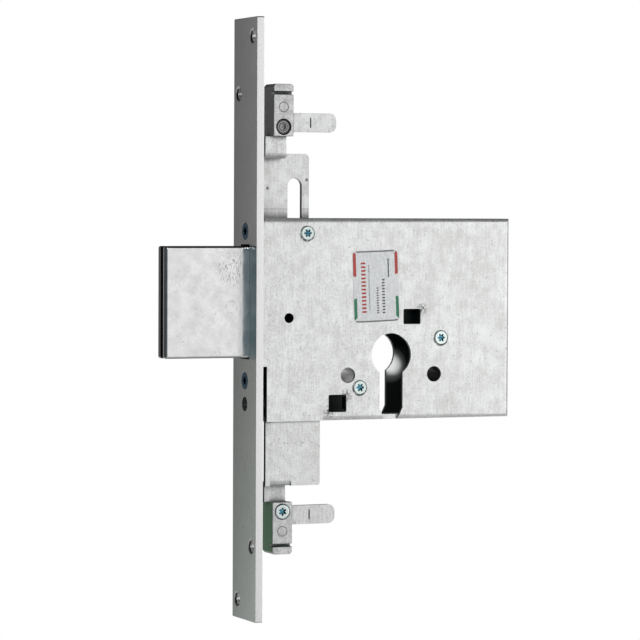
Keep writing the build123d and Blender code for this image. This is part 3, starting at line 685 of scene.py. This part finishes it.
def dress_label():
    """Coloured edge bars, grey end lines, and plain ticks and rules in place of any lettering."""
    print_piece("label_red_bars", [border(*stretch, BAR_W) for stretch in RED_BARS], RED)
    print_piece("label_green_bars", [border(*stretch, BAR_W) for stretch in GREEN_BARS], GREEN)
    print_piece("label_end_lines", [border(*stretch, END_LINE_W) for stretch in END_LINES], PALE)
    print_piece("label_red_ticks", ticks(*in_mm(RED_COLUMN)), RED)
    columns = [tick for column in DARK_COLUMNS for tick in ticks(*in_mm(column))]
    columns += [rule(*in_mm(LONG_RULE))]
    print_piece("label_ruled_lines", columns, DARK)


# Studio
CAMERA_PLACE = Vector((-0.53384, -1.20225, 0.05819))
CAMERA_AZIMUTH = math.radians(-22.84)
CAMERA_ELEVATION = math.radians(1.94)
CAMERA_ROLL = math.radians(0.24)
LENS = 182.4
SENSOR = 36.0
# Area lights: place, what it is aimed at, size and power
KEY = ((1.5, -1.6, -0.02), (0.0, 0.0, 0.02), 1.25, 10.6)
LAMP = ((-0.62, -1.05, 0.40), (0.006, 0.0, -0.004), 0.12, 2.5)
FILL = ((-1.4, 0.9, 0.3), (-0.06, 0.0, 0.0), 1.2, 0.8)
# Beam on to the back plate: direction it comes from, length, power, cone, and where it lands
BEAM_FROM = Vector((-0.484, -0.817, 0.312))
BEAM_LENGTH = 0.55
BEAM_POWER = 13.0
BEAM_ANGLE = math.radians(1.0)
BEAM_ACROSS, BEAM_UP = 8 * MM, -5 * MM
FLOOR_DROP = 0.45
FLOOR_SIZE = 6
# What the metal mirrors: one tone all round, then lobes of another tone about a direction, each with the
# cosines of the angle at which its change starts and ends
EVEN_SKY = grey(0.30)
LOBES = (
    ((-0.39, 0.92, 0.0), -0.2, 0.9, grey(0.20)),
    ((-0.75, -0.65, 0.0), 0.70, 0.85, (0.07, 0.10, 0.11, 1)),
    ((-0.39, -0.92, 0.03), 0.80, 0.93, (0.09, 0.15, 0.18, 1)),
    ((0.45, -0.89, 0.0), 0.78, 0.92, grey(1.0)),
    ((0.0, 0.0, 1.0), 0.15, 0.45, grey(0.05)),
)


def light_world():
    """White to the camera; to the metal, bright on the right and dark behind the camera and above."""
    world = bpy.data.worlds.new("studio")
    bpy.context.scene.world = world
    world.use_nodes = True
    tree = world.node_tree
    tree.nodes.clear()
    add = tree.nodes.new
    direction = add("ShaderNodeTexCoord").outputs["Generated"]

    def lobe(aim, start, end, below, above):
        """Colour that turns from below to above as a direction nears the aim."""
        dot = add("ShaderNodeVectorMath")
        dot.operation = "DOT_PRODUCT"
        tree.links.new(direction, dot.inputs[0])
        dot.inputs[1].default_value = Vector(aim).normalized()
        share = add("ShaderNodeMapRange")
        share.interpolation_type = "SMOOTHSTEP"
        tree.links.new(dot.outputs["Value"], share.inputs["Value"])
        share.inputs["From Min"].default_value = start
        share.inputs["From Max"].default_value = end
        mixed = add("ShaderNodeMixRGB")
        tree.links.new(share.outputs[0], mixed.inputs["Fac"])
        for socket, colour in (("Color1", below), ("Color2", above)):
            if isinstance(colour, tuple):
                mixed.inputs[socket].default_value = colour
            else:
                tree.links.new(colour, mixed.inputs[socket])
        return mixed.outputs[0]

    sky = EVEN_SKY
    for aim, start, end, tone in LOBES:
        sky = lobe(aim, start, end, sky, tone)
    metal = add("ShaderNodeBackground")
    tree.links.new(sky, metal.inputs["Color"])
    white = add("ShaderNodeBackground")
    white.inputs["Color"].default_value = grey(1.0)
    path = add("ShaderNodeLightPath")
    choice = add("ShaderNodeMixShader")
    tree.links.new(path.outputs["Is Camera Ray"], choice.inputs["Fac"])
    tree.links.new(metal.outputs[0], choice.inputs[1])
    tree.links.new(white.outputs[0], choice.inputs[2])
    output = add("ShaderNodeOutputWorld")
    tree.links.new(choice.outputs[0], output.inputs["Surface"])


def area_light(name, place, aim, size, power):
    """Soft light at a place, turned towards its aim."""
    data = bpy.data.lights.new(name, "AREA")
    data.size = size
    data.energy = power
    light = bpy.data.objects.new(name, data)
    light.location = place
    light.rotation_euler = (Vector(aim) - Vector(place)).to_track_quat("-Z", "Y").to_euler()
    bpy.context.scene.collection.objects.link(light)


def light_opening():
    """Narrow beam through the cylinder's opening on to the back plate's painted pool of light."""
    data = bpy.data.lights.new("beam", "SPOT")
    data.energy = BEAM_POWER
    data.spot_size = BEAM_ANGLE
    data.spot_blend = 0.6
    data.shadow_soft_size = 1 * MM
    light = bpy.data.objects.new("beam", data)
    aim = Vector((BEAM_ACROSS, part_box("case_back")[1].y, BEAM_UP))
    light.location = aim + BEAM_LENGTH * BEAM_FROM
    light.rotation_euler = (aim - light.location).to_track_quat("-Z", "Y").to_euler()
    bpy.context.scene.collection.objects.link(light)


def lay_floor():
    """Pale floor well below the lock, pure white to the camera."""
    low, high = cad_box
    bpy.ops.mesh.primitive_plane_add(size=FLOOR_SIZE, location=((low.x + high.x) / 2, 0, low.z - FLOOR_DROP))
    floor = bpy.context.object
    floor.name = "floor"
    s = Surface("floor")
    lit = s.node("ShaderNodeEmission", {"Color": grey(0.5)}).outputs[0]
    glow = s.node("ShaderNodeEmission", {"Color": grey(1.0)}).outputs[0]
    seen = s.node("ShaderNodeLightPath").outputs["Is Camera Ray"]
    choice = s.node("ShaderNodeMixShader", {0: seen, 1: lit, 2: glow}).outputs[0]
    s.node("ShaderNodeOutputMaterial", {"Surface": choice})
    floor.data.materials.append(s.material)


def place_camera():
    """Camera at the viewing angle, given by its azimuth, elevation and roll."""
    a, e, r = CAMERA_AZIMUTH, CAMERA_ELEVATION, CAMERA_ROLL
    back = Vector((math.sin(a) * math.cos(e), -math.cos(a) * math.cos(e), math.sin(e)))
    level = (-back).cross(Vector((0, 0, 1))).normalized()
    rise = level.cross(-back)
    right = math.cos(r) * level + math.sin(r) * rise
    up = math.cos(r) * rise - math.sin(r) * level
    data = bpy.data.cameras.new("camera")
    data.lens = LENS
    data.sensor_width = SENSOR
    camera = bpy.data.objects.new("camera", data)
    turn = Matrix((right, up, back)).transposed().to_4x4()
    camera.matrix_world = Matrix.Translation(CAMERA_PLACE) @ turn
    bpy.context.scene.collection.objects.link(camera)
    bpy.context.scene.camera = camera


dress_nodes()
dress_label()
light_world()
area_light("key", *KEY)
area_light("lamp", *LAMP)
light_opening()
area_light("fill", *FILL)
lay_floor()
place_camera()
bpy.context.scene.view_settings.view_transform = "Standard"
